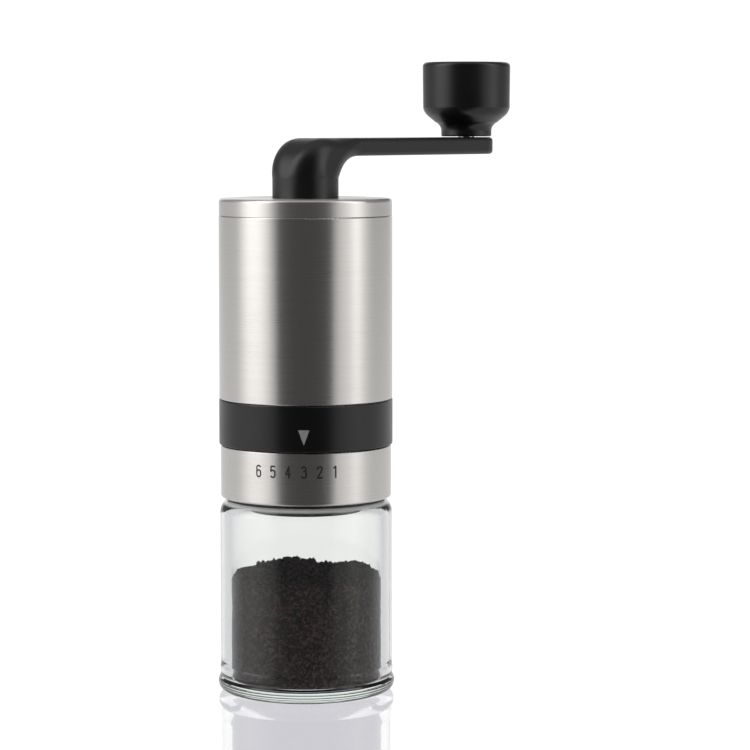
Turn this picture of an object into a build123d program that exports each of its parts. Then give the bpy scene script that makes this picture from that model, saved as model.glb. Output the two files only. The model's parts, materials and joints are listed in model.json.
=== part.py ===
"""Hand crank coffee grinder: glass jar, burr mill with an outer dial, hopper, lid and crank.

Millimetres, +Z up. The origin is the centre of the jar's base, and -Y is the side with the
index mark. The mill stands assembled: the lid is on the hopper and the crank is on the shaft.
"""

import os
from math import atan, cos, degrees, pi, radians, sin, sqrt

from build123d import *

# ---------------------------------------------------------------- driving dimensions
# azimuths about the mill's axis, from +X towards +Y
FRONT = 270.0
BACK = 90.0
CRANK_ANGLE = 52.0

# jar
JAR_R = 29.85
JAR_INNER_R = 26.5
JAR_FOOT_R = 30.7
JAR_FLOOR_Z = 2.6
JAR_SHOULDER_Z = 62.2
JAR_RIM_Z = 67.0
BASE_RING_R = (21.6, 24.4)
BASE_RING_DEPTH = 0.5
COFFEE_R = JAR_INNER_R - 0.4
COFFEE_SIDE_Z = 40.2
COFFEE_PEAK_Z = 44.4

# jar thread: three starts, right-handed, inside the mouth
THREAD_LEAD = 5.4
THREAD_STARTS = 3
LUG_HEIGHT = 0.8
LUG_DEPTH = 0.7
LUG_HALF_ARC = 14.0
LUG_Z = 65.9

# threaded collar that hangs from the burr housing into the jar's mouth
THREAD_R = 25.45
THREAD_BORE_R = 23.7
THREAD_LOW_Z = 63.5
FLANGE_R = 27.7
FLANGE_LOW_Z = 67.35
FLANGE_TOP_Z = 67.9

# burr housing: a sleeve that the dial turns on and a deck under the hopper
COLLAR_R = 26.7
COLLAR_BORE_R = 25.0
COLLAR_LOW_Z = 68.0
DECK_LOW_Z = 97.2
DECK_TOP_Z = 102.2
HOUSING_R = 27.95
THROAT_R = 16.3
SCREW_CIRCLE_R = 22.0
SPIDER_ARM = 3.6

# index ring and the paint-filled marks
INDEX_LOW_Z = 86.4
INDEX_TOP_Z = DECK_TOP_Z
INDEX_R = 30.1
INLAY_DEPTH = 0.6
INLAY_SINK = 0.04

# dial, with its numerals from 1 to 6
DIAL_R = 29.55
DIAL_SLEEVE_WALL = 0.8
DIAL_LOW_Z = 68.0
DIAL_TOP_Z = 86.1
CORE_R = DIAL_R - DIAL_SLEEVE_WALL - 0.02
CORE_BORE_R = COLLAR_R + 0.2
CORE_LOW_Z = 69.0
NUMERAL_Z = 79.7
NUMERAL_HEIGHT = 4.3
NUMERAL_WIDTH = 2.05
NUMERAL_STROKE = 0.54

# grind setting: the dial turns and the ring burr rises or sinks
DIAL_STEP = 10.5
TRAVEL_PER_STEP = 0.2
STEPS_TO_FINEST = 2
STEPS_TO_COARSEST = 3
PIN_R = 1.2
PIN_Z = 82.6
PIN_ANGLES = (30.0, 150.0, 270.0)
PIN_PLAY = 0.3

# click spring, an upright leaf in the back of the burr housing
SPRING_LOW_Z = 70.2
SPRING_HEIGHT = 7.4
SPRING_PLAY = 0.3

# burrs
RING_BURR_R = 21.0
CARRIER_R = 24.6
CARRIER_LOW_Z = 80.2
CARRIER_TOP_Z = 96.2
BURR_LOW_Z = 81.5
BURR_TOP_Z = 95.5
BURR_NECK_Z = 87.0
BURR_MOUTH_R = 16.4
CONE_SLOPE = 0.557
CONE_FOOT_R = 17.58
BURR_GAP = 0.55
INNER_BURR_LOW_Z = 80.0

# hopper
HOPPER_R = 30.0
HOPPER_WALL = 0.9
HOPPER_RIM_Z = 165.5
LINER_R = 29.0
LINER_WALL = 1.6
LINER_TOP_Z = 163.5
CONE_LOW_Z = 108.0
CONE_TOP_Z = 124.0
BRIDGE_LOW_Z = 150.0
BRIDGE_R = 27.2
BRIDGE_HUB_R = 7.4
BRIDGE_HUB_HEIGHT = 13.6

# shaft and its bushes
BUSH_R = 5.0
BUSH_BORE_R = 3.65
JOURNAL_R = 3.6
SQUARE = 5.6
SHOULDER_Z = 165.6
SHAFT_TOP_Z = 178.7
BURR_SEAT_Z = 95.9
STUD_LOW_Z = 74.6

# lid
LID_R = 29.9
LID_LOW_Z = HOPPER_RIM_Z + 0.05
LID_TOP_Z = 171.4
LID_SKIN = 0.8
LID_WEB_Z = 168.1
LID_PLUG_R = 26.2
LID_PLUG_LOW_Z = 158.7
LID_PLUG_WALL = 1.8
LID_HOLE_R = 11.9
LOBE_R = 6.7
LOBE_CENTRE = 15.5

# crank
CRANK_REACH = 94.0
COLUMN_SIDE = 22.4
COLUMN_LOW_Z = 166.0
ARM_LOW_Z = 185.8
ARM_TOP_Z = 192.0
ARM_WIDTH = 19.6
ARM_EDGE_R = 1.3
OUTER_BEND_R = 14.0
INNER_BEND_R = 7.5
SOCKET_R = 5.5
SOCKET_DEPTH = 14.5

# knob
KNOB_CENTRE = (CRANK_REACH * cos(radians(CRANK_ANGLE)), CRANK_REACH * sin(radians(CRANK_ANGLE)))
KNOB_LOW_Z = ARM_TOP_Z + 0.3
KNOB_TOP_Z = 219.6
KNOB_R = 16.2
KNOB_NECK_R = 9.3
KNOB_PIN_R = 3.0
KNOB_BUSH_R = 4.2
KNOB_BORE_TOP_Z = KNOB_TOP_Z - 9.4
CLIP_GROOVE_Z = KNOB_TOP_Z - 9.0


# ---------------------------------------------------------------- planes and profiles

def lathe_profile(points):
    """A closed face in the X-Z half plane, from (radius, height) corners."""
    with BuildSketch(Plane.XZ) as profile:
        with BuildLine():
            Polyline(*points, close=True)
        make_face()
    return profile.sketch


def ring_sector(plane, inner_r, outer_r, half_arc):
    """An annular sector centred on the plane's own x axis."""
    with BuildSketch(plane) as sector:
        with BuildLine():
            outer = CenterArc((0, 0), outer_r, -half_arc, 2 * half_arc)
            inner = CenterArc((0, 0), inner_r, -half_arc, 2 * half_arc)
            Line(outer @ 0, inner @ 0)
            Line(outer @ 1, inner @ 1)
        make_face()
    return sector.sketch


def helix_plane(azimuth, height, lead, radius):
    """A plane through (0, 0, height) tangent to a helix of this lead at this azimuth."""
    tilt = atan(lead / (2 * pi * radius))
    outward = Vector(cos(radians(azimuth)), sin(radians(azimuth)), 0)
    along = Vector(-sin(radians(azimuth)), cos(radians(azimuth)), 0)
    normal = Vector(0, 0, 1) * cos(tilt) - along * sin(tilt)
    return Plane(origin=(0, 0, height), x_dir=outward, z_dir=normal)


def radial_plane(azimuth, height, radius=0.0):
    """A plane whose normal points straight out at this azimuth, with its y axis up."""
    outward = Vector(cos(radians(azimuth)), sin(radians(azimuth)), 0)
    along = Vector(-sin(radians(azimuth)), cos(radians(azimuth)), 0)
    return Plane(origin=outward * radius + Vector(0, 0, height), x_dir=along, z_dir=outward)


def level_plane(azimuth, height):
    """A level plane at this height whose x axis points out at this azimuth."""
    outward = Vector(cos(radians(azimuth)), sin(radians(azimuth)), 0)
    return Plane(origin=(0, 0, height), x_dir=outward, z_dir=(0, 0, 1))


def knob_plane(height):
    """A level plane at this height, centred on the knob's axis."""
    return Plane(origin=(*KNOB_CENTRE, height), z_dir=(0, 0, 1))


# ---------------------------------------------------------------- jar

def make_glass_jar():
    with BuildPart() as glass_jar:
        with BuildSketch(Plane.XZ):
            with BuildLine():
                foot = Line((0, 0), (28.2, 0))
                bead = ThreePointArc(foot @ 1, (JAR_FOOT_R, 2.8), (29.9, 5.4))
                bulge = ThreePointArc(bead @ 1, (30.1, 7.4), (JAR_R, 9.8))
                side = Line(bulge @ 1, (JAR_R, JAR_SHOULDER_Z))
                shoulder = ThreePointArc(side @ 1, (29.15, 65.2), (27.5, JAR_RIM_Z - 0.08))
                rim = Line(shoulder @ 1, (JAR_INNER_R + 0.45, JAR_RIM_Z))
                lip = Line(rim @ 1, (JAR_INNER_R, JAR_RIM_Z - 0.45))
                wall = Line(lip @ 1, (JAR_INNER_R, JAR_FLOOR_Z + 4.0))
                heel = ThreePointArc(
                    wall @ 1,
                    (JAR_INNER_R - 1.1, JAR_FLOOR_Z + 1.2),
                    (JAR_INNER_R - 4.1, JAR_FLOOR_Z),
                )
                floor = Line(heel @ 1, (0, JAR_FLOOR_Z))
                Line(floor @ 1, foot @ 0)
            make_face()
        revolve(axis=Axis.Z)
        # moulded ring under the base
        with BuildSketch(Plane.XY):
            Circle(BASE_RING_R[1])
            Circle(BASE_RING_R[0], mode=Mode.SUBTRACT)
        extrude(amount=BASE_RING_DEPTH, mode=Mode.SUBTRACT)
        for start in range(THREAD_STARTS):
            azimuth = BACK + start * 360 / THREAD_STARTS
            lug_plane = helix_plane(azimuth, LUG_Z, THREAD_LEAD, JAR_INNER_R)
            sector = ring_sector(lug_plane, JAR_INNER_R - LUG_DEPTH, JAR_INNER_R + 0.5, LUG_HALF_ARC)
            extrude(sector, amount=LUG_HEIGHT / 2, both=True)
    return glass_jar


def make_ground_coffee():
    with BuildPart() as ground_coffee:
        with BuildSketch(Plane.XZ):
            with BuildLine():
                floor = Line((0, JAR_FLOOR_Z + 0.3), (COFFEE_R - 4.0, JAR_FLOOR_Z + 0.3))
                heel = ThreePointArc(
                    floor @ 1,
                    (COFFEE_R - 1.2, JAR_FLOOR_Z + 1.5),
                    (COFFEE_R, JAR_FLOOR_Z + 4.4),
                )
                side = Line(heel @ 1, (COFFEE_R, COFFEE_SIDE_Z))
                slope = Line(side @ 1, (14.0, COFFEE_SIDE_Z + 3.0))
                peak = Line(slope @ 1, (0, COFFEE_PEAK_Z))
                Line(peak @ 1, floor @ 0)
            make_face()
        revolve(axis=Axis.Z)
    return ground_coffee


def make_jar_seal():
    with BuildPart() as jar_seal:
        with BuildSketch(Plane.XY.offset(JAR_RIM_Z + 0.02)):
            Circle(FLANGE_R - 0.1)
            Circle(THREAD_R + 0.25, mode=Mode.SUBTRACT)
        extrude(amount=FLANGE_LOW_Z - JAR_RIM_Z - 0.04)
    return jar_seal


# ---------------------------------------------------------------- mill body

def make_burr_housing():
    with BuildPart() as burr_housing:
        profile = lathe_profile((
            (COLLAR_BORE_R, COLLAR_LOW_Z),
            (COLLAR_R, COLLAR_LOW_Z),
            (COLLAR_R, INDEX_LOW_Z - 0.1),
            (HOUSING_R, INDEX_LOW_Z - 0.1),
            (HOUSING_R, DECK_TOP_Z),
            (THROAT_R + 2.0, DECK_TOP_Z),
            (THROAT_R, DECK_LOW_Z),
            (COLLAR_BORE_R, DECK_LOW_Z),
        ))
        revolve(profile, axis=Axis.Z)
        # upright slots that the cam pins rise and sink in
        for azimuth in PIN_ANGLES:
            with BuildSketch(radial_plane(azimuth, PIN_Z, COLLAR_BORE_R - 1)):
                SlotOverall(2 * (PIN_R + 0.6 + PIN_PLAY), 2 * (PIN_R + PIN_PLAY), rotation=90)
            extrude(amount=COLLAR_R - COLLAR_BORE_R + 2, mode=Mode.SUBTRACT)
        # pocket for the click spring
        pocket_plane = level_plane(BACK, SPRING_LOW_Z - SPRING_PLAY)
        sector = ring_sector(pocket_plane, COLLAR_R - 0.6, COLLAR_R + 1, 18)
        extrude(sector, amount=SPRING_HEIGHT + 2 * SPRING_PLAY, mode=Mode.SUBTRACT)
        # three-armed carrier of the lower bush
        with BuildSketch(Plane.XY.offset(DECK_LOW_Z)):
            Circle(7.0)
            with PolarLocations(0, 3, start_angle=30):
                with Locations((THROAT_R / 2 + 0.6, 0)):
                    Rectangle(THROAT_R + 1.2, SPIDER_ARM)
        extrude(amount=4.0)
        with BuildSketch(Plane.XY.offset(DECK_LOW_Z)):
            Circle(BUSH_R)
        extrude(amount=4.0, mode=Mode.SUBTRACT)
        # counterbored holes for the hopper's screws
        for radius, depth in ((1.35, DECK_TOP_Z - DECK_LOW_Z), (2.5, 2.2)):
            with BuildSketch(Plane.XY.offset(DECK_LOW_Z)):
                with PolarLocations(SCREW_CIRCLE_R, 3, start_angle=BACK):
                    Circle(radius)
            extrude(amount=depth, mode=Mode.SUBTRACT)
    return burr_housing


def make_thread_collar():
    with BuildPart() as thread_collar:
        profile = lathe_profile((
            (THREAD_BORE_R, THREAD_LOW_Z),
            (THREAD_R, THREAD_LOW_Z),
            (THREAD_R, FLANGE_LOW_Z),
            (FLANGE_R, FLANGE_LOW_Z),
            (FLANGE_R, FLANGE_TOP_Z),
            (COLLAR_BORE_R - 0.05, FLANGE_TOP_Z),
            (COLLAR_BORE_R - 0.05, FLANGE_TOP_Z + 3.0),
            (THREAD_BORE_R, FLANGE_TOP_Z + 3.0),
        ))
        revolve(profile, axis=Axis.Z)
        # lugs that catch under the jar's lugs, half a pitch below them
        for start in range(THREAD_STARTS):
            azimuth = BACK + start * 360 / THREAD_STARTS
            lug_height = LUG_Z - THREAD_LEAD / THREAD_STARTS / 2
            lug_plane = helix_plane(azimuth, lug_height, THREAD_LEAD, JAR_INNER_R)
            sector = ring_sector(lug_plane, THREAD_R - 0.5, THREAD_R + LUG_DEPTH, LUG_HALF_ARC)
            extrude(sector, amount=LUG_HEIGHT / 2, both=True)
    return thread_collar


def make_index_ring():
    with BuildPart() as index_ring:
        with BuildSketch(Plane.XY.offset(INDEX_LOW_Z)):
            Circle(INDEX_R)
            Circle(HOUSING_R + 0.05, mode=Mode.SUBTRACT)
        extrude(amount=INDEX_TOP_Z - INDEX_LOW_Z)
        rims = index_ring.edges().filter_by(GeomType.CIRCLE).group_by(SortBy.RADIUS)[-1]
        fillet(rims, 0.45)
        with BuildSketch(radial_plane(FRONT, 0, INDEX_R)):
            add(index_triangle())
        extrude(amount=-INLAY_DEPTH, mode=Mode.SUBTRACT)
    return index_ring


def index_triangle():
    """The arrow head that points down at the dial."""
    with BuildSketch() as triangle:
        with BuildLine():
            Polyline((-1.95, 94.1), (1.95, 94.1), (0, 88.8), close=True)
        make_face()
    return triangle.sketch


def make_index_mark():
    with BuildPart() as index_mark:
        with BuildSketch(radial_plane(FRONT, 0, INDEX_R)):
            add(index_triangle())
        extrude(amount=-INLAY_DEPTH)
        with BuildSketch(Plane.XY):
            Circle(INDEX_R - INLAY_SINK)
        extrude(amount=HOPPER_RIM_Z, mode=Mode.INTERSECT)
    return index_mark


def make_hopper_shell():
    with BuildPart() as hopper_shell:
        with BuildSketch(Plane.XY.offset(INDEX_TOP_Z + 0.05)):
            Circle(HOPPER_R)
            Circle(HOPPER_R - HOPPER_WALL, mode=Mode.SUBTRACT)
        extrude(amount=HOPPER_RIM_Z - INDEX_TOP_Z - 0.05)
        outer_edges = hopper_shell.edges().filter_by(GeomType.CIRCLE).group_by(SortBy.RADIUS)[-1]
        fillet(outer_edges, 0.35)
    return hopper_shell


def make_hopper_liner():
    inner_r = LINER_R - LINER_WALL
    with BuildPart() as hopper_liner:
        profile = lathe_profile((
            (LINER_R, DECK_TOP_Z + 0.05),
            (LINER_R, LINER_TOP_Z),
            (inner_r, LINER_TOP_Z),
            (inner_r, BRIDGE_LOW_Z),
            (inner_r - 0.9, BRIDGE_LOW_Z),
            (inner_r - 0.9, CONE_TOP_Z),
            (THROAT_R + 2.4, CONE_LOW_Z),
            (THROAT_R + 2.0, DECK_TOP_Z + 0.05),
        ))
        revolve(profile, axis=Axis.Z)
        # space behind the cone, so that the floor is a thin wall
        profile = lathe_profile((
            (LINER_R - LINER_WALL, CONE_LOW_Z + 0.6),
            (LINER_R - LINER_WALL, CONE_TOP_Z - 4.4),
            (22.6, CONE_LOW_Z + 0.6),
        ))
        revolve(profile, axis=Axis.Z, mode=Mode.SUBTRACT)
        with BuildSketch(Plane.XY.offset(DECK_TOP_Z)):
            with PolarLocations(SCREW_CIRCLE_R, 3, start_angle=BACK):
                Circle(1.05)
        extrude(amount=4.6, mode=Mode.SUBTRACT)
    return hopper_liner


def make_shaft_bridge():
    with BuildPart() as shaft_bridge:
        with BuildSketch(Plane.XY.offset(BRIDGE_LOW_Z)):
            Circle(BRIDGE_R)
            Circle(BRIDGE_R - 2.4, mode=Mode.SUBTRACT)
        extrude(amount=3.0)
        with BuildSketch(Plane.XY.offset(BRIDGE_LOW_Z)):
            Circle(BRIDGE_HUB_R)
            with PolarLocations(0, 3, start_angle=30):
                with Locations((BRIDGE_R / 2 - 0.6, 0)):
                    Rectangle(BRIDGE_R - 1.2, 4.4)
        extrude(amount=5.0)
        with BuildSketch(Plane.XY.offset(BRIDGE_LOW_Z)):
            Circle(BRIDGE_HUB_R)
        extrude(amount=BRIDGE_HUB_HEIGHT)
        with BuildSketch(Plane.XY.offset(BRIDGE_LOW_Z)):
            Circle(BUSH_R + 0.02)
        extrude(amount=BRIDGE_HUB_HEIGHT, mode=Mode.SUBTRACT)
    return shaft_bridge


def flanged_bush(low, length, flange_low):
    """A sleeve bearing for the shaft with a thin flange at one level."""
    with BuildPart() as bush:
        with BuildSketch(Plane.XY.offset(low)):
            Circle(BUSH_R)
            Circle(BUSH_BORE_R, mode=Mode.SUBTRACT)
        extrude(amount=length)
        with BuildSketch(Plane.XY.offset(flange_low)):
            Circle(BUSH_R + 1.2)
            Circle(BUSH_BORE_R, mode=Mode.SUBTRACT)
        extrude(amount=0.8)
    return bush


def make_housing_screws():
    with BuildPart() as housing_screws:
        for low, radius, height in ((DECK_LOW_Z + 0.4, 2.3, 1.8), (DECK_LOW_Z + 2.2, 1.0, 6.6)):
            with BuildSketch(Plane.XY.offset(low)):
                with PolarLocations(SCREW_CIRCLE_R, 3, start_angle=BACK):
                    Circle(radius)
            extrude(amount=height)
        with BuildSketch(Plane.XY.offset(DECK_LOW_Z + 0.4)):
            with PolarLocations(SCREW_CIRCLE_R, 3, start_angle=BACK):
                RegularPolygon(1.1, 6)
        extrude(amount=0.9, mode=Mode.SUBTRACT)
    return housing_screws


def make_click_spring():
    with BuildPart() as click_spring:
        spring_plane = level_plane(BACK, SPRING_LOW_Z)
        leaf = ring_sector(spring_plane, COLLAR_R - 0.5, COLLAR_R - 0.15, 16)
        extrude(leaf, amount=SPRING_HEIGHT)
        # crest that drops into the dial's notches
        crest = ring_sector(spring_plane, COLLAR_R - 0.3, COLLAR_R + 0.1, 1.6)
        extrude(crest, amount=SPRING_HEIGHT)
    return click_spring


# ---------------------------------------------------------------- dial

def numeral_strokes(digit):
    """Straight and round pen strokes of one narrow digit, centred on the origin."""
    w = (NUMERAL_WIDTH - NUMERAL_STROKE) / 2
    h = (NUMERAL_HEIGHT - NUMERAL_STROKE) / 2
    belly = w - h
    lines = {
        1: [((0.15, h), (0.15, -h)), ((0.15, h), (-0.5, h - 0.55))],
        2: [((0.9 * w, -belly - 0.42 * w), (-w, -h)), ((-w, -h), (w, -h))],
        3: [((w, -0.35), (w, belly))],
        4: [((0.3, -h), (0.3, h)), ((0.3, h), (-w, -0.7)), ((-w, -0.7), (w, -0.7))],
        5: [((w - 0.1, h), (-0.6, h)), ((-0.6, h), (-0.68, 0.22)), ((w, -0.2), (w, belly))],
        6: [((w, -0.35), (w, belly)), ((-w, belly), (-w, -belly))],
    }
    arcs = {
        1: [],
        2: [((0, -belly), w, -25, 205)],
        3: [((0, h - 0.72), 0.72, -90, 240), ((0, -0.35), w, 0, 90), ((0, belly), w, -150, 150)],
        4: [],
        5: [((0, -0.2), w, 0, 148), ((0, belly), w, -150, 150)],
        6: [((0, -0.35), w, 0, 180), ((0, belly), w, 180, 180), ((0, -belly), w, 30, 150)],
    }
    return lines[digit], [CenterArc(*arc) for arc in arcs[digit]]


def numeral_azimuth(digit):
    """Each digit is one step from the next, and 3 is under the index mark."""
    return FRONT + (3 - digit) * DIAL_STEP


def numeral_prisms(depth_r):
    """Every digit extruded inwards from just outside the dial to this radius."""
    with BuildPart() as prisms:
        for digit in range(1, 7):
            lines, arcs = numeral_strokes(digit)
            with BuildSketch(radial_plane(numeral_azimuth(digit), NUMERAL_Z, DIAL_R + 1.0)):
                for start, end in lines:
                    middle = (Vector(*start) + Vector(*end)) / 2
                    SlotCenterPoint(middle, end, NUMERAL_STROKE)
                for arc in arcs:
                    SlotArc(arc, NUMERAL_STROKE)
            extrude(amount=depth_r - DIAL_R - 1.0)
    return prisms.part


def make_dial_sleeve():
    digits = numeral_prisms(DIAL_R - 0.3)
    with BuildPart() as dial_sleeve:
        with BuildSketch(Plane.XY.offset(DIAL_LOW_Z)):
            Circle(DIAL_R)
            Circle(DIAL_R - DIAL_SLEEVE_WALL, mode=Mode.SUBTRACT)
        extrude(amount=DIAL_TOP_Z - DIAL_LOW_Z)
        outer = dial_sleeve.edges().filter_by(GeomType.CIRCLE).group_by(SortBy.RADIUS)[-1]
        fillet(outer.sort_by(Axis.Z)[0], 0.7)
        fillet(outer.sort_by(Axis.Z)[-1], 0.3)
        add(digits, mode=Mode.SUBTRACT)
    return dial_sleeve


def make_dial_numerals():
    digits = numeral_prisms(DIAL_R - 0.29)
    with BuildPart() as dial_numerals:
        add(digits)
        with BuildSketch(Plane.XY.offset(DIAL_LOW_Z)):
            Circle(DIAL_R - INLAY_SINK)
        extrude(amount=DIAL_TOP_Z - DIAL_LOW_Z, mode=Mode.INTERSECT)
    return dial_numerals


def make_dial_core():
    steps = STEPS_TO_FINEST + STEPS_TO_COARSEST
    slot_half_arc = steps * DIAL_STEP / 2 + degrees((PIN_R + PIN_PLAY) / COLLAR_R)
    slot_mid = (STEPS_TO_FINEST - STEPS_TO_COARSEST) * DIAL_STEP / 2
    rise = TRAVEL_PER_STEP / DIAL_STEP
    with BuildPart() as dial_core:
        with BuildSketch(Plane.XY.offset(CORE_LOW_Z)):
            Circle(CORE_R)
            Circle(CORE_BORE_R, mode=Mode.SUBTRACT)
        extrude(amount=DIAL_TOP_Z - 0.1 - CORE_LOW_Z)
        # sloping cam slots that lift or sink the pins as the dial turns
        for azimuth in PIN_ANGLES:
            slot_z = PIN_Z - slot_mid * rise
            slot_plane = helix_plane(azimuth + slot_mid, slot_z, -360 * rise, CORE_R)
            sector = ring_sector(slot_plane, CORE_BORE_R - 1, CORE_R + 1, slot_half_arc)
            extrude(sector, amount=PIN_R + PIN_PLAY, both=True, mode=Mode.SUBTRACT)
        # one notch in the bore for each setting
        with BuildSketch(Plane.XY.offset(CORE_LOW_Z)):
            for step in range(-STEPS_TO_COARSEST, STEPS_TO_FINEST + 1):
                with PolarLocations(CORE_BORE_R, 1, start_angle=90 + step * DIAL_STEP):
                    Circle(0.5)
        extrude(amount=9.6, mode=Mode.SUBTRACT)
    return dial_core


# ---------------------------------------------------------------- burrs

def cone_radius(height):
    """Radius of the inner burr's grinding cone at this height."""
    return CONE_FOOT_R - CONE_SLOPE * (height - BURR_LOW_Z)


def make_burr_carrier():
    with BuildPart() as burr_carrier:
        profile = lathe_profile((
            (19.4, CARRIER_LOW_Z),
            (CARRIER_R, CARRIER_LOW_Z),
            (CARRIER_R, CARRIER_TOP_Z),
            (RING_BURR_R + 0.05, CARRIER_TOP_Z),
            (RING_BURR_R + 0.05, BURR_LOW_Z - 0.05),
            (19.4, BURR_LOW_Z - 0.05),
        ))
        revolve(profile, axis=Axis.Z)
        for azimuth in PIN_ANGLES:
            with BuildSketch(radial_plane(azimuth, PIN_Z, RING_BURR_R)):
                Circle(PIN_R + 0.01)
            extrude(amount=CARRIER_R + 1 - RING_BURR_R, mode=Mode.SUBTRACT)
    return burr_carrier


def make_ring_burr():
    with BuildPart() as ring_burr:
        profile = lathe_profile((
            (cone_radius(BURR_LOW_Z) + BURR_GAP, BURR_LOW_Z),
            (RING_BURR_R, BURR_LOW_Z),
            (RING_BURR_R, BURR_TOP_Z),
            (BURR_MOUTH_R, BURR_TOP_Z),
            (cone_radius(BURR_NECK_Z) + BURR_GAP, BURR_NECK_Z),
        ))
        revolve(profile, axis=Axis.Z)
        # breaker grooves down the throat
        for groove in range(12):
            with BuildSketch(Plane.XY.offset(BURR_NECK_Z - 2)):
                with PolarLocations(BURR_MOUTH_R, 1, start_angle=groove * 30):
                    Circle(1.5)
            extrude(amount=12, taper=4, mode=Mode.SUBTRACT)
    return ring_burr


def make_cam_pins():
    with BuildPart() as cam_pins:
        for azimuth in PIN_ANGLES:
            with BuildSketch(radial_plane(azimuth, PIN_Z, RING_BURR_R + 0.3)):
                Circle(PIN_R)
            extrude(amount=CORE_R - 0.5 - RING_BURR_R - 0.3)
    return cam_pins


def make_inner_burr():
    with BuildPart() as inner_burr:
        profile = lathe_profile((
            (0, INNER_BURR_LOW_Z),
            (15.6, INNER_BURR_LOW_Z),
            (cone_radius(BURR_LOW_Z), BURR_LOW_Z),
            (cone_radius(BURR_NECK_Z), BURR_NECK_Z),
            (7.2, BURR_SEAT_Z - 0.1),
            (0, BURR_SEAT_Z - 0.1),
        ))
        revolve(profile, axis=Axis.Z)
        # deep feed grooves that lean round the cone
        for groove in range(6):
            azimuth = groove * 60
            foot = Vector(16.4 * cos(radians(azimuth)), 16.4 * sin(radians(azimuth)), 85.0)
            lean = azimuth + 34
            head = Vector(7.6 * cos(radians(lean)), 7.6 * sin(radians(lean)), 97.0)
            with BuildSketch(Plane(origin=foot, z_dir=head - foot)):
                Circle(1.9)
            extrude(amount=(head - foot).length, mode=Mode.SUBTRACT)
        with BuildSketch(Plane.XY.offset(INNER_BURR_LOW_Z)):
            Rectangle(SQUARE + 0.04, SQUARE + 0.04)
        extrude(amount=16, mode=Mode.SUBTRACT)
    return inner_burr


# ---------------------------------------------------------------- drive

def make_drive_shaft():
    with BuildPart() as drive_shaft:
        with BuildSketch(Plane.XY.offset(BURR_SEAT_Z)):
            Circle(JOURNAL_R)
        extrude(amount=SHOULDER_Z - BURR_SEAT_Z)
        for low, high in ((SHOULDER_Z, SHAFT_TOP_Z), (STUD_LOW_Z + 4.6, BURR_SEAT_Z)):
            with BuildSketch(Plane.XY.offset(low)):
                square = Rectangle(SQUARE, SQUARE)
                chamfer(square.vertices(), 0.5)
            extrude(amount=high - low)
        chamfer(drive_shaft.edges().group_by(Axis.Z)[-1], 0.4)
        with BuildSketch(Plane.XY.offset(STUD_LOW_Z)):
            Circle(2.0)
        extrude(amount=4.6)
    return drive_shaft


def make_burr_washer():
    with BuildPart() as burr_washer:
        with BuildSketch(Plane.XY.offset(STUD_LOW_Z + 3.6)):
            Circle(6.4)
            Circle(2.05, mode=Mode.SUBTRACT)
        extrude(amount=0.98)
        with BuildSketch(Plane.XY.offset(STUD_LOW_Z + 4.58)):
            Circle(6.4)
            Circle(4.1, mode=Mode.SUBTRACT)
        extrude(amount=0.8)
    return burr_washer


def make_burr_nut():
    with BuildPart() as burr_nut:
        with BuildSketch(Plane.XY.offset(STUD_LOW_Z + 0.4)):
            RegularPolygon(4.0, 6, major_radius=False)
            Circle(2.02, mode=Mode.SUBTRACT)
        extrude(amount=3.18)
        chamfer(burr_nut.edges().group_by(Axis.Z)[0].filter_by(GeomType.LINE), 0.4)
    return burr_nut


# ---------------------------------------------------------------- lid

def lid_hole():
    """The lid's hole with the lobe that keys it to the crank's flute."""
    with BuildSketch() as hole:
        Circle(LID_HOLE_R)
        with PolarLocations(LOBE_CENTRE, 1, start_angle=CRANK_ANGLE):
            Circle(LOBE_R, mode=Mode.SUBTRACT)
    return hole.sketch


def make_lid_cap():
    with BuildPart() as lid_cap:
        with BuildSketch(Plane.XY.offset(LID_LOW_Z)):
            Circle(LID_R)
        extrude(amount=LID_TOP_Z - LID_LOW_Z)
        fillet(lid_cap.edges().group_by(Axis.Z)[-1], 1.1)
        with BuildSketch(Plane.XY.offset(HOPPER_RIM_Z)):
            Circle(LID_R - LID_SKIN)
        extrude(amount=LID_TOP_Z - LID_SKIN - HOPPER_RIM_Z, mode=Mode.SUBTRACT)
        with BuildSketch(Plane.XY.offset(LID_LOW_Z)):
            add(lid_hole())
        extrude(amount=10, mode=Mode.SUBTRACT)
        hole_edges = lid_cap.edges().group_by(Axis.Z)[-1].filter_by(
            lambda edge: edge.length < 2 * pi * (LID_HOLE_R + 1))
        fillet(hole_edges, 0.35)
    return lid_cap


def make_lid_plug():
    web_top = LID_TOP_Z - LID_SKIN - 0.02
    with BuildPart() as lid_plug:
        with BuildSketch(Plane.XY.offset(LID_WEB_Z)):
            Circle(LID_R - LID_SKIN - 0.05)
        extrude(amount=web_top - LID_WEB_Z)
        with BuildSketch(Plane.XY.offset(LID_PLUG_LOW_Z)):
            Circle(LID_PLUG_R)
            Circle(LID_PLUG_R - LID_PLUG_WALL, mode=Mode.SUBTRACT)
        extrude(amount=LID_WEB_Z + 0.6 - LID_PLUG_LOW_Z)
        # seam down the side of the skirt
        with BuildSketch(Plane.XY.offset(LID_PLUG_LOW_Z)):
            with PolarLocations(LID_PLUG_R, 1, start_angle=CRANK_ANGLE + 90):
                Rectangle(0.8, 0.6)
        extrude(amount=6.5, mode=Mode.SUBTRACT)
        with BuildSketch(Plane.XY.offset(LID_WEB_Z - 0.1)):
            add(lid_hole())
        extrude(amount=4, mode=Mode.SUBTRACT)
    return lid_plug


# ---------------------------------------------------------------- crank

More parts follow.
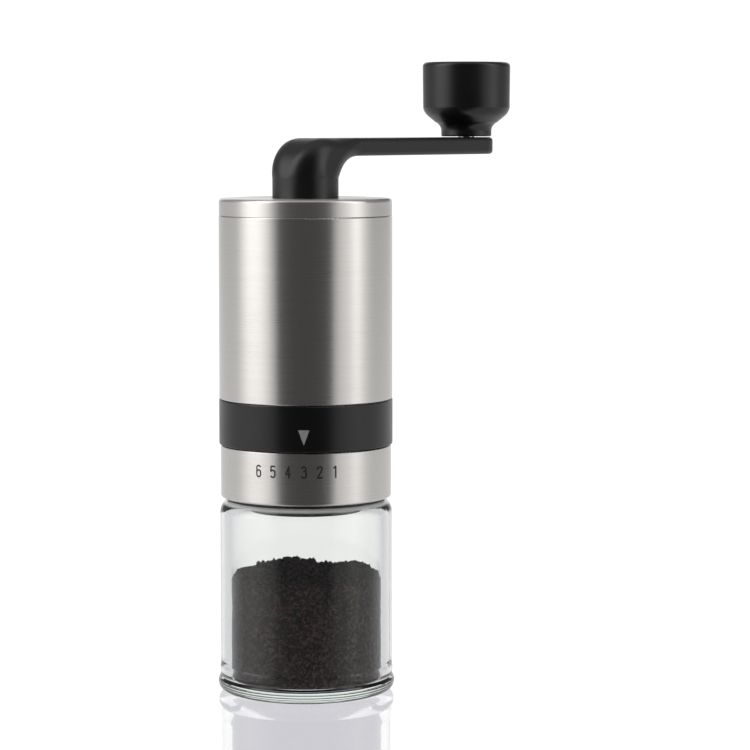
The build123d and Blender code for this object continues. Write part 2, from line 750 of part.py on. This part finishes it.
def bend_section(turn):
    """Section of the bend between the upright column (turn 0) and the level arm (turn 90)."""
    pivot_out = COLUMN_SIDE / 2 + INNER_BEND_R
    pivot_z = ARM_LOW_Z - INNER_BEND_R
    ray_out = -cos(radians(turn))
    ray_up = sin(radians(turn))
    # how far the ray from the pivot runs before it meets the flat top, or the outer bend
    to_centre_out = OUTER_BEND_R - COLUMN_SIDE / 2 - pivot_out
    to_centre_up = ARM_TOP_Z - OUTER_BEND_R - pivot_z
    if turn > degrees(atan((ARM_TOP_Z - pivot_z) / -to_centre_out)):
        reach = (ARM_TOP_Z - pivot_z) / ray_up
    else:
        along = ray_out * to_centre_out + ray_up * to_centre_up
        across = ray_up * to_centre_out - ray_out * to_centre_up
        reach = along + sqrt(OUTER_BEND_R ** 2 - across ** 2)
    middle = (INNER_BEND_R + reach) / 2
    share = turn / 90
    depth = reach - INNER_BEND_R
    width = COLUMN_SIDE + (ARM_WIDTH - COLUMN_SIDE) * share
    corner = COLUMN_SIDE * 0.473 + (ARM_EDGE_R - COLUMN_SIDE * 0.473) * share ** 0.8
    column = level_plane(CRANK_ANGLE, 0)
    origin = column.x_dir * (pivot_out + middle * ray_out) + Vector(0, 0, pivot_z + middle * ray_up)
    ray = column.x_dir * ray_out + Vector(0, 0, ray_up)
    section_plane = Plane(origin=origin, x_dir=ray, z_dir=column.y_dir.cross(ray))
    with BuildSketch(section_plane) as section:
        RectangleRounded(depth, width, min(corner, depth * 0.473))
    return section.sketch


def make_crank_arm():
    with BuildPart() as crank_arm:
        # round end of the arm under the knob
        with BuildSketch(knob_plane(ARM_LOW_Z)):
            Circle(ARM_WIDTH / 2)
        extrude(amount=ARM_TOP_Z - ARM_LOW_Z)
        fillet(crank_arm.edges().filter_by(GeomType.CIRCLE), ARM_EDGE_R)
        extrude(bend_section(90), amount=CRANK_REACH - COLUMN_SIDE / 2 - INNER_BEND_R)
        loft([bend_section(turn) for turn in range(0, 91, 10)])
        extrude(bend_section(0), amount=-(ARM_LOW_Z - INNER_BEND_R - COLUMN_LOW_Z))
        # flute that the lid's lobe slides in
        with BuildSketch(level_plane(CRANK_ANGLE, COLUMN_LOW_Z)):
            with Locations((LOBE_CENTRE, 0)):
                Circle(LOBE_R + 0.4)
        extrude(amount=ARM_LOW_Z - COLUMN_LOW_Z - 1.5, mode=Mode.SUBTRACT)
        # seat of the shaft socket and hole for the knob's pin
        with BuildSketch(level_plane(CRANK_ANGLE, COLUMN_LOW_Z)):
            Circle(SOCKET_R + 0.02)
        extrude(amount=SOCKET_DEPTH, mode=Mode.SUBTRACT)
        for radius, depth in ((KNOB_PIN_R + 0.01, ARM_TOP_Z - ARM_LOW_Z), (5.1, 1.8)):
            with BuildSketch(knob_plane(ARM_LOW_Z)):
                Circle(radius)
            extrude(amount=depth, mode=Mode.SUBTRACT)
    return crank_arm


def make_shaft_socket():
    with BuildPart() as shaft_socket:
        with BuildSketch(level_plane(CRANK_ANGLE, COLUMN_LOW_Z + 0.1)):
            Circle(SOCKET_R)
        extrude(amount=SOCKET_DEPTH - 0.2)
        with BuildSketch(Plane.XY.offset(COLUMN_LOW_Z)):
            Rectangle(SQUARE + 0.1, SQUARE + 0.1)
        extrude(amount=SHAFT_TOP_Z + 0.4 - COLUMN_LOW_Z, mode=Mode.SUBTRACT)
    return shaft_socket


def make_knob_pin():
    with BuildPart() as knob_pin:
        with BuildSketch(knob_plane(ARM_LOW_Z + 0.3)):
            Circle(5.0)
        extrude(amount=1.45)
        with BuildSketch(knob_plane(ARM_LOW_Z + 1.75)):
            Circle(KNOB_PIN_R)
        extrude(amount=KNOB_TOP_Z - 7.0 - ARM_LOW_Z - 1.75)
        with BuildSketch(knob_plane(CLIP_GROOVE_Z)):
            Circle(KNOB_PIN_R + 0.1)
            Circle(KNOB_PIN_R - 0.5, mode=Mode.SUBTRACT)
        extrude(amount=0.9, mode=Mode.SUBTRACT)
    return knob_pin


def make_knob_clip():
    with BuildPart() as knob_clip:
        with BuildSketch(knob_plane(CLIP_GROOVE_Z + 0.05)):
            Circle(KNOB_PIN_R + 1.6)
            Circle(KNOB_PIN_R - 0.45, mode=Mode.SUBTRACT)
            with Locations((KNOB_PIN_R, 0)):
                Rectangle(4.0, 2.0, mode=Mode.SUBTRACT)
        extrude(amount=0.8)
    return knob_clip


def make_knob_bush():
    with BuildPart() as knob_bush:
        with BuildSketch(knob_plane(KNOB_LOW_Z + 0.2)):
            Circle(KNOB_BUSH_R)
            Circle(KNOB_PIN_R + 0.06, mode=Mode.SUBTRACT)
        extrude(amount=KNOB_BORE_TOP_Z - KNOB_LOW_Z - 0.2)
    return knob_bush


def make_knob():
    with BuildPart() as knob:
        with BuildSketch(Plane(origin=(*KNOB_CENTRE, 0), x_dir=(1, 0, 0), z_dir=(0, -1, 0))):
            with BuildLine():
                foot = Line((0, KNOB_LOW_Z), (KNOB_NECK_R - 0.5, KNOB_LOW_Z))
                lip = TangentArc(foot @ 1, (KNOB_NECK_R, KNOB_LOW_Z + 0.5), tangent=(1, 0))
                neck = Line(lip @ 1, (KNOB_NECK_R, KNOB_LOW_Z + 2.0))
                flare = TangentArc(neck @ 1, (11.4, KNOB_LOW_Z + 5.2), tangent=(0, 1))
                slope = Line(flare @ 1, (14.2, KNOB_LOW_Z + 7.5))
                belly = TangentArc(slope @ 1, (KNOB_R - 0.15, KNOB_LOW_Z + 10.6), tangent=slope % 1)
                side = Line(belly @ 1, (KNOB_R, KNOB_TOP_Z - 1.6))
                brow = TangentArc(side @ 1, (KNOB_R - 1.6, KNOB_TOP_Z), tangent=(0, 1))
                crown = Line(brow @ 1, (0, KNOB_TOP_Z))
                Line(crown @ 1, foot @ 0)
            make_face()
        revolve(axis=Axis((*KNOB_CENTRE, 0), (0, 0, 1)))
        with BuildSketch(knob_plane(KNOB_LOW_Z)):
            Circle(KNOB_BUSH_R + 0.01)
        extrude(amount=KNOB_BORE_TOP_Z - KNOB_LOW_Z, mode=Mode.SUBTRACT)
        with BuildSketch(knob_plane(KNOB_BORE_TOP_Z)):
            Circle(KNOB_PIN_R + 2.1)
        extrude(amount=3.2, mode=Mode.SUBTRACT)
    return knob


# ---------------------------------------------------------------- export

def save(builder, name):
    builder.part.label = name
    export_step(builder.part, f"parts/{name}.step")


os.makedirs("parts", exist_ok=True)
save(make_glass_jar(), "glass_jar")
save(make_ground_coffee(), "ground_coffee")
save(make_jar_seal(), "jar_seal")
save(make_burr_housing(), "burr_housing")
save(make_thread_collar(), "thread_collar")
save(make_index_ring(), "index_ring")
save(make_index_mark(), "index_mark")
save(make_hopper_shell(), "hopper_shell")
save(make_hopper_liner(), "hopper_liner")
save(make_shaft_bridge(), "shaft_bridge")
save(flanged_bush(BRIDGE_LOW_Z, BRIDGE_HUB_HEIGHT + 0.8, BRIDGE_LOW_Z + BRIDGE_HUB_HEIGHT), "upper_bush")
save(flanged_bush(DECK_LOW_Z, 4.8, DECK_LOW_Z + 4.0), "lower_bush")
save(make_housing_screws(), "housing_screws")
save(make_click_spring(), "click_spring")
save(make_dial_sleeve(), "dial_sleeve")
save(make_dial_core(), "dial_core")
save(make_dial_numerals(), "dial_numerals")
save(make_burr_carrier(), "burr_carrier")
save(make_ring_burr(), "ring_burr")
save(make_cam_pins(), "cam_pins")
save(make_drive_shaft(), "drive_shaft")
save(make_inner_burr(), "inner_burr")
save(make_burr_washer(), "burr_washer")
save(make_burr_nut(), "burr_nut")
save(make_lid_cap(), "lid_cap")
save(make_lid_plug(), "lid_plug")
save(make_crank_arm(), "crank_arm")
save(make_shaft_socket(), "shaft_socket")
save(make_knob_pin(), "knob_pin")
save(make_knob_clip(), "knob_clip")
save(make_knob_bush(), "knob_bush")
save(make_knob(), "knob")
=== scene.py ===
"""Looks of the hand crank coffee grinder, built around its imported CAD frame.

Metres, +Z up, the mill's axis on the Z axis and -Y towards the camera.
"""

import json
import math
import random

import bmesh
import bpy
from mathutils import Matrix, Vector, noise


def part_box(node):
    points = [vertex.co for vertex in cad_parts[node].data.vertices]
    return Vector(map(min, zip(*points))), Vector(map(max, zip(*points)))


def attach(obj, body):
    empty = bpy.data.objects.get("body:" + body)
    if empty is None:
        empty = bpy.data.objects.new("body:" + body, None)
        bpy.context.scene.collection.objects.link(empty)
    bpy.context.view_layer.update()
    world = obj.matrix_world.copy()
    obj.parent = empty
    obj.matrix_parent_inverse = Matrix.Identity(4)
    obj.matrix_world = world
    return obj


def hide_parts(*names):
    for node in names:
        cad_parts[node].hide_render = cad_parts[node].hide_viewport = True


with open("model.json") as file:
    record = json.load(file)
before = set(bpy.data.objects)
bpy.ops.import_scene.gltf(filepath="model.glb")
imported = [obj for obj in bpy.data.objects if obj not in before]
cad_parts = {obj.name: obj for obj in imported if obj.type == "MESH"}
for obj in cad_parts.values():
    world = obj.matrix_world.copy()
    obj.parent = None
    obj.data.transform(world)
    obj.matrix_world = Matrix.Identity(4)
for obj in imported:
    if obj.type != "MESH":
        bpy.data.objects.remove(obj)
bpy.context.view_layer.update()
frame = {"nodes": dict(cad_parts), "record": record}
nodes = frame["nodes"]
SCENE = bpy.context.scene

MM = 0.001


# ---------------------------------------------------------------- node tools

class Shade:
    """One procedural material, with short ways to add and join its nodes."""

    def __init__(self, name):
        self.mat = bpy.data.materials.new(name)
        self.mat.use_nodes = True
        self.tree = self.mat.node_tree
        self.bsdf = self.tree.nodes["Principled BSDF"]

    def node(self, kind, **settings):
        made = self.tree.nodes.new(kind)
        for key, value in settings.items():
            setattr(made, key, value)
        return made

    def feed(self, socket, value):
        """Join an output to a socket, or set the socket's own value."""
        if isinstance(value, bpy.types.NodeSocket):
            self.tree.links.new(value, socket)
        else:
            socket.default_value = value

    def set(self, **values):
        """Set constants on the Principled shader, by socket name with _ for a space."""
        for key, value in values.items():
            self.bsdf.inputs[key.replace("_", " ")].default_value = value
        return self

    def math(self, operation, a, b=0.0, c=0.0):
        made = self.node("ShaderNodeMath", operation=operation)
        for socket, value in zip(made.inputs, (a, b, c)):
            self.feed(socket, value)
        return made.outputs[0]

    def place(self):
        """The piece's own coordinates, in metres."""
        return self.node("ShaderNodeTexCoord").outputs["Object"]

    def noise(self, vector, scale, detail=2.0, roughness=0.5, w=None):
        """Noise around 0.5, with `scale` features per unit of the vector."""
        made = self.node("ShaderNodeTexNoise", noise_dimensions="3D" if w is None else "4D")
        self.feed(made.inputs["Vector"], vector)
        self.feed(made.inputs["Scale"], scale)
        self.feed(made.inputs["Detail"], detail)
        self.feed(made.inputs["Roughness"], roughness)
        if w is not None:
            self.feed(made.inputs["W"], w)
        return made.outputs["Fac"]

    def ramp(self, value, stops):
        """A colour ramp from (position, (r, g, b)) stops."""
        made = self.node("ShaderNodeValToRGB")
        elements = made.color_ramp.elements
        while len(elements) < len(stops):
            elements.new(0.5)
        for element, (position, colour) in zip(elements, stops):
            element.position = position
            element.color = (*colour, 1.0)
        self.feed(made.inputs["Fac"], value)
        return made.outputs["Color"]

    def spread(self, value, low, high, source=(0.3, 0.7)):
        """Map the source range of a value, by default a noise's usual range, to low..high."""
        made = self.node("ShaderNodeMapRange")
        for key, number in zip(("From Min", "From Max", "To Min", "To Max"), (*source, low, high)):
            made.inputs[key].default_value = number
        self.feed(made.inputs["Value"], value)
        return made.outputs["Result"]

    def bump(self, height, depth, strength):
        """Shade a height value as relief of the given depth in metres."""
        made = self.node("ShaderNodeBump")
        made.inputs["Strength"].default_value = strength
        made.inputs["Distance"].default_value = depth
        self.feed(made.inputs["Height"], height)
        self.feed(self.bsdf.inputs["Normal"], made.outputs["Normal"])

    def tint(self, value, dark, light):
        """Base colour that varies between two colours with a noise value."""
        self.feed(self.bsdf.inputs["Base Color"], self.ramp(value, [(0.3, dark), (0.7, light)]))


def round_the_axis(shade, across):
    """Noise vector and W that run round the Z axis, with `across` lines per metre across it."""
    split = shade.node("ShaderNodeSeparateXYZ")
    shade.feed(split.inputs[0], shade.place())
    x, y, z = split.outputs
    squares = shade.math("ADD", shade.math("MULTIPLY", x, x), shade.math("MULTIPLY", y, y))
    radius = shade.math("SQRT", squares)
    safe = shade.math("MAXIMUM", radius, 1e-5)
    join = shade.node("ShaderNodeCombineXYZ")
    shade.feed(join.inputs[0], shade.math("DIVIDE", x, safe))
    shade.feed(join.inputs[1], shade.math("DIVIDE", y, safe))
    shade.feed(join.inputs[2], shade.math("MULTIPLY", z, across))
    return join.outputs[0], shade.math("MULTIPLY", radius, across)


# ---------------------------------------------------------------- materials

def brushed_steel(name, base, roughness, anisotropy):
    """Steel brushed round the axis: fine rings, and highlights drawn out across them."""
    shade = Shade(name).set(Metallic=1.0, Anisotropic=anisotropy, Anisotropic_Rotation=0.25)
    tangent = shade.node("ShaderNodeTangent", direction_type="RADIAL", axis="Z")
    shade.feed(shade.bsdf.inputs["Tangent"], tangent.outputs[0])
    vector, w = round_the_axis(shade, 2600.0)
    fine = shade.noise(vector, 1.0, detail=3.0, roughness=0.6, w=w)
    vector, w = round_the_axis(shade, 520.0)
    broad = shade.noise(vector, 1.0, detail=2.0, w=w)
    lines = shade.math("ADD", shade.math("MULTIPLY", fine, 0.85), shade.math("MULTIPLY", broad, 0.15))
    shade.tint(lines, tuple(0.96 * c for c in base), tuple(1.03 * c for c in base))
    shade.feed(shade.bsdf.inputs["Roughness"], shade.spread(lines, roughness - 0.015, roughness + 0.02))
    shade.bump(lines, 0.000003, 0.05)
    return shade.mat


def moulded(name, base, roughness, grain, grain_depth, coat=0.0):
    """Moulded or coated black: a fine grain with slow patches of colour and gloss."""
    shade = Shade(name).set(Coat_Weight=coat, Coat_Roughness=0.12)
    place = shade.place()
    fine = shade.noise(place, grain, detail=3.0)
    patches = shade.noise(place, 45.0, detail=2.0)
    shade.tint(patches, tuple(0.85 * c for c in base), tuple(1.2 * c for c in base))
    shade.feed(shade.bsdf.inputs["Roughness"], shade.spread(patches, roughness - 0.03, roughness + 0.04))
    shade.bump(fine, grain_depth, 0.5)
    return shade.mat


def machined(name, base, roughness):
    """Turned bright metal with fine tool rings."""
    shade = Shade(name).set(Metallic=1.0)
    vector, w = round_the_axis(shade, 1800.0)
    rings = shade.noise(vector, 1.0, detail=2.0, w=w)
    smears = shade.noise(shade.place(), 160.0, detail=3.0)
    shade.tint(rings, tuple(0.9 * c for c in base), tuple(min(1.0, 1.05 * c) for c in base))
    shade.feed(shade.bsdf.inputs["Roughness"], shade.spread(smears, roughness - 0.04, roughness + 0.06))
    shade.bump(rings, 0.00001, 0.3)
    return shade.mat


def jar_glass():
    """Clear pressed glass, thick enough for a green edge, with slow ripples from the mould, and a
    painted highlight as a pale band below the rim.
    """
    shade = Shade("jar_glass").set(IOR=1.5, Roughness=0.0, Specular_Tint=(0.45, 0.45, 0.45, 1.0))
    ripples = shade.noise(shade.place(), 26.0, detail=1.0)
    shade.tint(ripples, (0.875, 0.88, 0.877), (0.9, 0.905, 0.902))
    shade.bump(ripples, 0.0004, 0.12)
    # painted highlight: just below the rim the glass stops being clear and shows its pale base colour as
    # a band, standing in for light on the rounded rim
    split = shade.node("ShaderNodeSeparateXYZ")
    shade.feed(split.inputs[0], shade.place())
    rim_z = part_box("glass_jar")[1].z
    clear = shade.spread(split.outputs[2], 1.0, 0.15, source=(rim_z - 1.6 * MM, rim_z - 0.9 * MM))
    shade.feed(shade.bsdf.inputs["Transmission Weight"], clear)
    absorb = shade.node("ShaderNodeVolumeAbsorption")
    absorb.inputs["Color"].default_value = (0.62, 0.8, 0.7, 1.0)
    absorb.inputs["Density"].default_value = 7.0
    output = shade.tree.nodes["Material Output"]
    shade.feed(output.inputs["Volume"], absorb.outputs[0])
    return shade.mat


def ground_coffee():
    """Dark roast grounds: near-black to red-brown grains with pale chaff flecks."""
    shade = Shade("ground_coffee").set(Roughness=0.86, Specular_IOR_Level=0.3)
    place = shade.place()
    grains = shade.node("ShaderNodeTexVoronoi")
    shade.feed(grains.inputs["Vector"], place)
    grains.inputs["Scale"].default_value = 1500.0
    split = shade.node("ShaderNodeSeparateColor")
    shade.feed(split.inputs[0], grains.outputs["Color"])
    patches = shade.noise(place, 120.0, detail=4.0, roughness=0.65)
    speck = shade.math("MULTIPLY", shade.math("ADD", split.outputs[0], patches), 0.6)
    colour = shade.ramp(speck, [
        (0.25, (0.003, 0.002, 0.0017)),
        (0.5, (0.01, 0.0052, 0.0042)),
        (0.68, (0.027, 0.0128, 0.0105)),
        (0.85, (0.075, 0.041, 0.034)),
    ])
    shade.feed(shade.bsdf.inputs["Base Color"], colour)
    shade.bump(grains.outputs["Distance"], 0.0004, 0.8)
    return shade.mat


def ceramic():
    """Fired burr ceramic, off-white with fine pits."""
    shade = Shade("burr_ceramic").set(Coat_Weight=0.1)
    place = shade.place()
    patches = shade.noise(place, 220.0, detail=3.0)
    pits = shade.noise(place, 3200.0, detail=2.0)
    shade.tint(patches, (0.74, 0.72, 0.67), (0.86, 0.85, 0.81))
    shade.feed(shade.bsdf.inputs["Roughness"], shade.spread(pits, 0.42, 0.62))
    shade.bump(pits, 0.00004, 0.5)
    return shade.mat


def paint_fill(name, base):
    """Matte paint rubbed into an engraving."""
    shade = Shade(name)
    grain = shade.noise(shade.place(), 2600.0, detail=2.0)
    shade.tint(grain, tuple(0.8 * c for c in base), tuple(1.15 * c for c in base))
    shade.feed(shade.bsdf.inputs["Roughness"], shade.spread(grain, 0.5, 0.7))
    shade.bump(grain, 0.00002, 0.4)
    return shade.mat


def floor_acrylic():
    """White acrylic that mirrors the object faintly; in reflections, dark in front of the object."""
    shade = Shade("floor_acrylic")
    tree = shade.tree
    split = shade.node("ShaderNodeSeparateXYZ")
    shade.feed(split.inputs[0], shade.place())
    x, y, _ = split.outputs
    ahead = shade.math("MULTIPLY", y, -1.0)
    # how far a point is inside the dark fan that opens from the object towards -Y
    fan = shade.math("SUBTRACT", shade.math("MULTIPLY", ahead, 0.8), shade.math("ABSOLUTE", x))
    dark = shade.spread(fan, 0.0, 1.0, source=(0.0, 0.06))
    unseen = shade.node("ShaderNodeEmission")
    shade.feed(unseen.inputs["Strength"], shade.spread(dark, 0.75, 0.06, source=(0.0, 1.0)))
    seen = shade.node("ShaderNodeEmission")
    seen.inputs["Color"].default_value = (0.6, 0.6, 0.64, 1.0)
    mirror = shade.node("ShaderNodeBsdfGlossy")
    mirror.inputs["Roughness"].default_value = 0.03
    mirror.inputs["Color"].default_value = (0.46, 0.46, 0.42, 1.0)
    both = shade.node("ShaderNodeAddShader")
    tree.links.new(seen.outputs[0], both.inputs[0])
    tree.links.new(mirror.outputs[0], both.inputs[1])
    path = shade.node("ShaderNodeLightPath")
    direct = shade.math("MAXIMUM", path.outputs["Is Camera Ray"], path.outputs["Is Transmission Ray"])
    mix = shade.node("ShaderNodeMixShader")
    tree.links.new(direct, mix.inputs[0])
    tree.links.new(unseen.outputs[0], mix.inputs[1])
    tree.links.new(both.outputs[0], mix.inputs[2])
    tree.links.new(mix.outputs[0], tree.nodes["Material Output"].inputs[0])
    return shade.mat


LOOKS = {
    "brushed_steel": brushed_steel("brushed_steel", (0.68, 0.66, 0.64), 0.28, 0.75),
    "lid_steel": brushed_steel("lid_steel", (0.7, 0.68, 0.66), 0.34, 0.7),
    "ring_plastic": moulded("ring_plastic", (0.0028, 0.0028, 0.003), 0.28, 5200.0, 0.00002),
    "body_plastic": moulded("body_plastic", (0.014, 0.014, 0.0145), 0.42, 3800.0, 0.00003),
    "liner_plastic": moulded("liner_plastic", (0.03, 0.03, 0.031), 0.4, 3600.0, 0.00003),
    "gloss_plastic": moulded("gloss_plastic", (0.008, 0.008, 0.0085), 0.16, 2600.0, 0.000008, coat=0.4),
    "knob_plastic": moulded("knob_plastic", (0.004, 0.004, 0.0042), 0.3, 4200.0, 0.000012),
    "crank_paint": moulded("crank_paint", (0.0045, 0.0045, 0.0047), 0.34, 3200.0, 0.00002),
    "seal_rubber": moulded("seal_rubber", (0.03, 0.03, 0.03), 0.65, 2400.0, 0.00004),
    "bush_brass": machined("bush_brass", (0.78, 0.6, 0.32), 0.24),
    "bright_steel": machined("bright_steel", (0.7, 0.7, 0.69), 0.18),
    "burr_ceramic": ceramic(),
    "jar_glass": jar_glass(),
    "coffee": ground_coffee(),
    "mark_paint": paint_fill("mark_paint", (0.36, 0.37, 0.37)),
    "numeral_paint": paint_fill("numeral_paint", (0.014, 0.013, 0.012)),
}


def dress(obj, slot):
    """Give a piece the look of a record slot."""
    obj.data.materials.clear()
    obj.data.materials.append(LOOKS[slot])


for part in frame["record"]["subparts"]:
    dress(nodes[part["node"]], part["material_slot"])


# ---------------------------------------------------------------- ground coffee

HEAP_RISE = 4.4 * MM
HEEL_HEIGHT = 4.4 * MM
HEEL_DEPTH = 3.4 * MM
CRUMB_COUNT = 4200


def grid_faces(start, rows, turns):
    """Quads between rows of `turns` points that start at vertex `start`, closed round."""
    faces = []
    for row in range(rows - 1):
        for i in range(turns):
            j = (i + 1) % turns
            low, high = start + row * turns, start + (row + 1) * turns
            faces.append((low + i, low + j, high + j, high + i))
    return faces


def make_mesh(name, points, faces):
    data = bpy.data.meshes.new(name)
    data.from_pydata(points, [], faces)
    data.update()
    made = bpy.data.objects.new(name, data)
    SCENE.collection.objects.link(made)
    return made


def crumb_shape():
    """Corners and faces of a small twenty-sided crumb of radius 1."""
    mesh = bmesh.new()
    bmesh.ops.create_icosphere(mesh, subdivisions=1, radius=1.0)
    corners = [vert.co.copy() for vert in mesh.verts]
    faces = [tuple(vert.index for vert in face.verts) for face in mesh.faces]
    mesh.free()
    return corners, faces


def make_coffee():
    """The heap of grounds: the CAD heap's outline, roughened, with loose crumbs on top."""
    low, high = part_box("ground_coffee")
    radius = high.x
    rim_z = high.z - HEAP_RISE
    heel_z = low.z + HEEL_HEIGHT
    rng = random.Random(7)
    rings, levels, heel_steps, turns = 64, 64, 8, 260

    def top(x, y):
        """Height of the heap's uneven top at a point."""
        across = min(1.0, math.hypot(x, y) / radius)
        spot = Vector((x, y, 0.0))
        swell = noise.noise(spot * 70.0 + Vector((3, 1, 5))) * 1.5 * MM
        lumps = noise.noise(spot * 260.0) * 0.8 * MM
        crumbs = noise.noise(spot * 800.0) * 0.45 * MM
        return min(rim_z + 2.7 * MM * (1 - across ** 2.4) + swell + lumps + crumbs, high.z + 1.2 * MM)

    points = []
    for ring in range(rings):
        r = radius * (rings - 1 - ring) / (rings - 1) + 0.00001
        for turn in range(turns):
            a = 2 * math.pi * turn / turns
            x, y = r * math.cos(a), r * math.sin(a)
            points.append((x, y, top(x, y)))
    points.reverse()
    for level in range(1, levels + 1):
        for turn in reversed(range(turns)):
            a = 2 * math.pi * turn / turns
            start = top(radius * math.cos(a), radius * math.sin(a))
            z = start + (heel_z - start) * level / levels
            spot = Vector((math.cos(a) * radius, math.sin(a) * radius, z))
            dent = max(0.0, noise.noise(spot * 650.0)) + 0.7 * max(0.0, noise.noise(spot * 180.0))
            r = radius - dent * 0.45 * MM
            points.append((r * math.cos(a), r * math.sin(a), z))
    for step in range(1, heel_steps + 1):
        lean = math.pi / 2 * step / heel_steps
        r = radius - HEEL_DEPTH * (1 - math.cos(lean))
        z = heel_z - (heel_z - low.z) * math.sin(lean)
        for turn in reversed(range(turns)):
            a = 2 * math.pi * turn / turns
            points.append((r * math.cos(a), r * math.sin(a), z))
    rows = len(points) // turns
    faces = grid_faces(0, rows, turns)
    faces.append(tuple(range((rows - 1) * turns, rows * turns)))
    # loose crumbs, some of them pressed against the glass
    corners, sides = crumb_shape()
    for _ in range(CRUMB_COUNT):
        a = rng.uniform(0, 2 * math.pi)
        size = rng.triangular(0.2, 1.0, 0.4) * MM
        r = (radius - size) * math.sqrt(rng.uniform(0.01, 1.0))
        x, y = r * math.cos(a), r * math.sin(a)
        shift = Vector((x, y, top(x, y) + size * rng.uniform(-0.4, 1.3)))
        squash = Vector((rng.uniform(0.6, 1.1), rng.uniform(0.6, 1.1), rng.uniform(0.5, 1.0))) * size
        first = len(points)
        for corner in corners:
            bent = corner * (1 + rng.uniform(-0.4, 0.4))
            points.append(tuple(bent[k] * squash[k] + shift[k] for k in range(3)))
        faces.extend(tuple(first + i for i in side) for side in sides)
    heap = make_mesh("coffee_heap", points, faces)
    dress(heap, "coffee")
    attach(heap, "jar")
    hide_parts("ground_coffee")


make_coffee()


# ---------------------------------------------------------------- floor, light and camera

FLOOR_HALF = 40.0
# strengths of the room: the soft boxes at their brightest, the ceiling, and the panel behind
SOFT_BOX = 2.7
CEILING = 0.6
BACK_PANEL = 1.1
# share of the soft boxes' strength at each angle round the room, in degrees from -Y towards +X
WALL_STOPS = [
    (-180, 0.1), (-128, 0.12), (-101, 0.17), (-80, 1.0), (-62, 0.92), (-48, 0.42), (-43, 0.028),
    (43, 0.028), (46, 0.28), (60, 0.42), (73, 1.0), (88, 0.34), (102, 0.09), (180, 0.1),
]


def make_floor():
    corners = [(x * FLOOR_HALF, y * FLOOR_HALF, 0) for x, y in ((-1, -1), (1, -1), (1, 1), (-1, 1))]
    floor = make_mesh("floor", corners, [(0, 1, 2, 3)])
    floor.location.z = -0.1 * MM
    floor.data.materials.append(floor_acrylic())


def make_light():
    """A white room with two tall soft boxes, and a dim gap between them in front of the object."""
    world = bpy.data.worlds.new("studio")
    SCENE.world = world
    world.use_nodes = True
    tree = world.node_tree
    tree.nodes.clear()

    def add(kind, **settings):
        made = tree.nodes.new(kind)
        for key, value in settings.items():
            setattr(made, key, value)
        return made

    def calc(operation, *values):
        made = add("ShaderNodeMath", operation=operation)
        for socket, value in zip(made.inputs, values):
            if isinstance(value, bpy.types.NodeSocket):
                tree.links.new(value, socket)
            else:
                socket.default_value = value
        return made.outputs[0]

    def step(value, start, end):
        made = add("ShaderNodeMapRange", interpolation_type="SMOOTHSTEP")
        tree.links.new(value, made.inputs["Value"])
        made.inputs["From Min"].default_value = start
        made.inputs["From Max"].default_value = end
        return made.outputs["Result"]

    def blend(share, first, second):
        kept = calc("MULTIPLY", first, calc("SUBTRACT", 1.0, share))
        return calc("ADD", kept, calc("MULTIPLY", share, second))

    way = add("ShaderNodeTexCoord").outputs["Generated"]
    split = add("ShaderNodeSeparateXYZ")
    tree.links.new(way, split.inputs[0])
    x, y, z = split.outputs
    turn = calc("ARCTAN2", x, calc("MULTIPLY", y, -1.0))
    turn = calc("MULTIPLY", turn, 180 / math.pi)
    rise = calc("MULTIPLY", calc("ARCSINE", z), 180 / math.pi)
    # brightness round the room: the dim gap in front, a soft box on each side, grey behind
    round_it = add("ShaderNodeMapRange")
    tree.links.new(turn, round_it.inputs["Value"])
    round_it.inputs["From Min"].default_value = -180.0
    round_it.inputs["From Max"].default_value = 180.0
    profile = add("ShaderNodeValToRGB")
    elements = profile.color_ramp.elements
    while len(elements) < len(WALL_STOPS):
        elements.new(0.5)
    for element, (degrees, shine) in zip(elements, WALL_STOPS):
        element.position = (degrees + 180) / 360
        element.color = (shine, shine, shine, 1.0)
    tree.links.new(round_it.outputs["Result"], profile.inputs["Fac"])
    walls = calc("MULTIPLY", profile.outputs["Color"], SOFT_BOX)
    overhead = step(rise, 50.0, 75.0)
    side = calc("ABSOLUTE", turn)
    behind = calc("MULTIPLY", step(side, 148.0, 168.0), calc("SUBTRACT", 1.0, step(rise, 18.0, 34.0)))
    level = blend(overhead, walls, CEILING)
    level = blend(behind, level, BACK_PANEL)
    glow = add("ShaderNodeBackground")
    tree.links.new(level, glow.inputs["Strength"])
    glow.inputs["Color"].default_value = (1.0, 0.995, 0.985, 1.0)
    # the backdrop is plain white where it is seen, and through the glass it fades towards the sides
    path = add("ShaderNodeLightPath")
    faded = calc("ADD", 0.45, calc("MULTIPLY", step(side, 100.0, 150.0), 0.6))
    white = add("ShaderNodeBackground")
    white.inputs["Color"].default_value = (1.0, 1.0, 1.0, 1.0)
    tree.links.new(calc("MAXIMUM", faded, path.outputs["Is Camera Ray"]), white.inputs["Strength"])
    mix = add("ShaderNodeMixShader")
    direct = calc("MAXIMUM", path.outputs["Is Camera Ray"], path.outputs["Is Transmission Ray"])
    tree.links.new(direct, mix.inputs[0])
    tree.links.new(glow.outputs[0], mix.inputs[1])
    tree.links.new(white.outputs[0], mix.inputs[2])
    out = add("ShaderNodeOutputWorld")
    tree.links.new(mix.outputs[0], out.inputs[0])


def make_camera():
    """A long lens just above the lid, far enough back for the crank's height."""
    data = bpy.data.cameras.new("camera")
    data.lens = 132.6
    data.sensor_width = 36.0
    data.clip_start = 0.05
    data.clip_end = 100.0
    camera = bpy.data.objects.new("camera", data)
    SCENE.collection.objects.link(camera)
    camera.location = (0.024, -0.955, 0.197)
    camera.rotation_euler = (math.radians(90 - 5.2), 0, 0)
    SCENE.camera = camera


make_floor()
make_light()
make_camera()
SCENE.view_settings.view_transform = "Standard"
SCENE.view_settings.look = "None"
